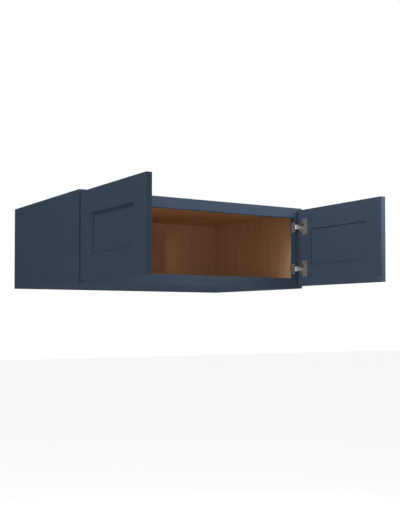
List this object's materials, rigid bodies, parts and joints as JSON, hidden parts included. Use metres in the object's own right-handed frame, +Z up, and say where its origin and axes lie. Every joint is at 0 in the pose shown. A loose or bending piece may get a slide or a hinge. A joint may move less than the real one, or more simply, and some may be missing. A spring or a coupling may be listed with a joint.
{
  "type": "wall cabinet",
  "caption": "Deep painted wall cabinet with a face frame and two overlay recessed-panel doors that swing on concealed hinges, shown standing open.",
  "frame": {"origin": "middle of the face that hangs on the wall, halfway up and halfway along the width", "axes": "+X along the width to the right as seen from the room, +Y from the room into the wall, +Z up"},
  "size_m": [0.9144, 1.0638, 0.3048],
  "materials": {
    "painted_wood": "satin paint",
    "interior_wood": "satin clear coat",
    "dowel_wood": "bare",
    "hinge_steel": "nickel plated",
    "screw_steel": "zinc plated",
    "damper_plastic": "moulded",
    "spacer_rubber": "matt",
    "bumper_rubber": "clear"
  },
  "bodies": {
    "cabinet": {"left_side_panel": "painted_wood", "right_side_panel": "painted_wood", "top_panel": "interior_wood", "bottom_panel": "painted_wood", "back_panel": "interior_wood", "frame_left_stile": "painted_wood", "frame_right_stile": "painted_wood", "frame_top_rail": "painted_wood", "frame_bottom_rail": "painted_wood", "frame_dowels": "dowel_wood", "box_dowels": "dowel_wood", "frame_to_box_dowels": "dowel_wood", "back_screws": "screw_steel", "left_upper_hinge_arm": "hinge_steel", "left_upper_hinge_base": "hinge_steel", "left_lower_hinge_arm": "hinge_steel", "left_lower_hinge_base": "hinge_steel", "right_upper_hinge_arm": "hinge_steel", "right_upper_hinge_base": "hinge_steel", "right_lower_hinge_arm": "hinge_steel", "right_lower_hinge_base": "hinge_steel", "hinge_base_screws": "screw_steel", "hinge_arm_screws": "screw_steel"},
    "left_door": {"left_door_hinge_stile": "painted_wood", "left_door_free_stile": "painted_wood", "left_door_top_rail": "painted_wood", "left_door_bottom_rail": "painted_wood", "left_door_panel": "painted_wood", "left_door_spacers": "spacer_rubber", "left_door_bumpers": "bumper_rubber", "left_upper_hinge_cup": "hinge_steel", "left_upper_hinge_pin": "screw_steel", "left_upper_hinge_springs": "hinge_steel", "left_upper_hinge_damper": "damper_plastic", "left_lower_hinge_cup": "hinge_steel", "left_lower_hinge_pin": "screw_steel", "left_lower_hinge_springs": "hinge_steel", "left_lower_hinge_damper": "damper_plastic", "left_cup_screws": "screw_steel"},
    "right_door": {"right_door_hinge_stile": "painted_wood", "right_door_free_stile": "painted_wood", "right_door_top_rail": "painted_wood", "right_door_bottom_rail": "painted_wood", "right_door_panel": "painted_wood", "right_door_spacers": "spacer_rubber", "right_door_bumpers": "bumper_rubber", "right_upper_hinge_cup": "hinge_steel", "right_upper_hinge_pin": "screw_steel", "right_upper_hinge_springs": "hinge_steel", "right_upper_hinge_damper": "damper_plastic", "right_lower_hinge_cup": "hinge_steel", "right_lower_hinge_pin": "screw_steel", "right_lower_hinge_springs": "hinge_steel", "right_lower_hinge_damper": "damper_plastic", "right_cup_screws": "screw_steel"}
  },
  "joints": [
    {"name": "left_door_hinge", "type": "hinge", "parent": "cabinet", "child": "left_door", "pos_m": [-0.44389, -0.6215, 0], "axis": [0, 0, 1], "range_deg": [-15, 90]},
    {"name": "right_door_hinge", "type": "hinge", "parent": "cabinet", "child": "right_door", "pos_m": [0.44389, -0.6215, 0], "axis": [0, 0, -1], "range_deg": [-15, 90]}
  ]
}
